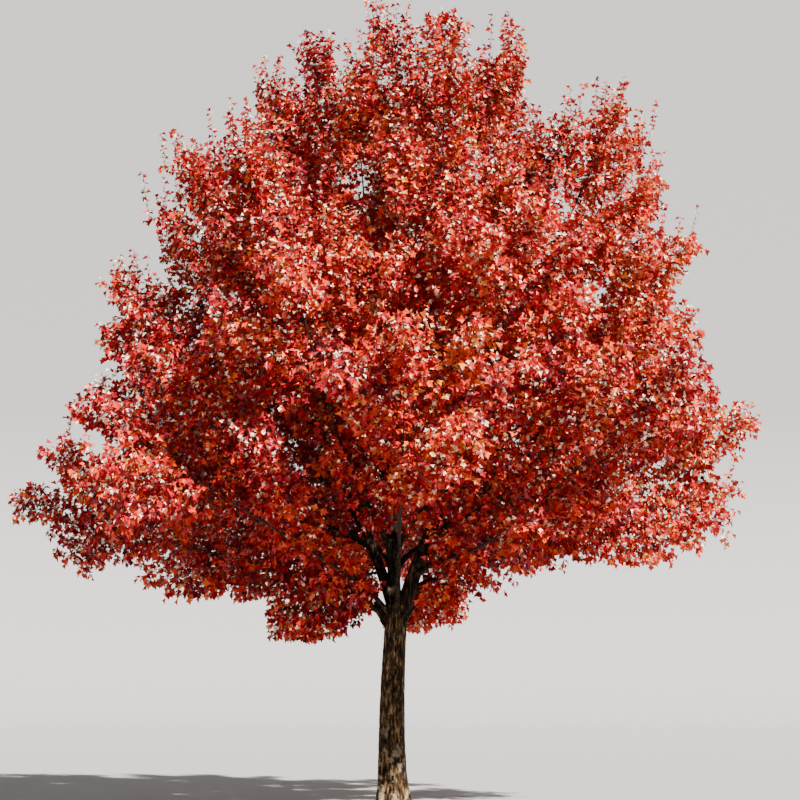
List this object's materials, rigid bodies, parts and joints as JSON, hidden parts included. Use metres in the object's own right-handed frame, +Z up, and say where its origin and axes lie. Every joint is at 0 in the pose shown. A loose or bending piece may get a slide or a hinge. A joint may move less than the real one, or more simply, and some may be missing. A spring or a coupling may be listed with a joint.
{
  "type": "red maple tree in autumn leaf",
  "caption": "Whole red maple with a short straight trunk, boughs spreading from a low fork and a broad rounded crown of scarlet autumn leaves.",
  "frame": {"origin": "middle of the flat cut under the trunk, at ground level", "axes": "+Z up along the trunk, -Y towards the viewer of the picture, +X to the viewer's right"},
  "size_m": [11.2628, 11.3546, 11.2712],
  "materials": {
    "bark": "rough ridged bark, grey-brown, olive and pale grey in patches",
    "leaves": "thin autumn leaves, scarlet to crimson with orange sprays, slightly glossy"
  },
  "bodies": {
    "root": {"trunk": "bark", "bough_top_1": "bark", "leader_centre": "bark", "bough_top_3": "bark", "bough_top_4": "bark", "leader_right": "bark", "bough_upper_2": "bark", "bough_upper_3": "bark", "leader_left": "bark", "bough_upper_5": "bark", "bough_upper_6": "bark", "bough_middle_1": "bark", "bough_middle_2": "bark", "bough_middle_3": "bark", "bough_middle_4": "bark", "bough_middle_5": "bark", "bough_middle_6": "bark", "bough_middle_7": "bark", "bough_middle_8": "bark", "bough_low_1": "bark", "bough_low_2": "bark", "bough_low_3": "bark", "bough_low_4": "bark", "bough_low_5": "bark", "bough_low_6": "bark", "bough_low_7": "bark", "bough_low_8": "bark", "bough_under_1": "bark", "bough_under_2": "bark", "bough_under_3": "bark", "foliage_top_1": "leaves", "foliage_top_2": "leaves", "foliage_top_3": "leaves", "foliage_top_4": "leaves", "foliage_upper_1": "leaves", "foliage_upper_2": "leaves", "foliage_upper_3": "leaves", "foliage_upper_4": "leaves", "foliage_upper_5": "leaves", "foliage_upper_6": "leaves", "foliage_middle_1": "leaves", "foliage_middle_2": "leaves", "foliage_middle_3": "leaves", "foliage_middle_4": "leaves", "foliage_middle_5": "leaves", "foliage_middle_6": "leaves", "foliage_middle_7": "leaves", "foliage_middle_8": "leaves", "foliage_low_1": "leaves", "foliage_low_2": "leaves", "foliage_low_3": "leaves", "foliage_low_4": "leaves", "foliage_low_5": "leaves", "foliage_low_6": "leaves", "foliage_low_7": "leaves", "foliage_low_8": "leaves", "foliage_under_1": "leaves", "foliage_under_2": "leaves", "foliage_under_3": "leaves"}
  },
  "joints": []
}
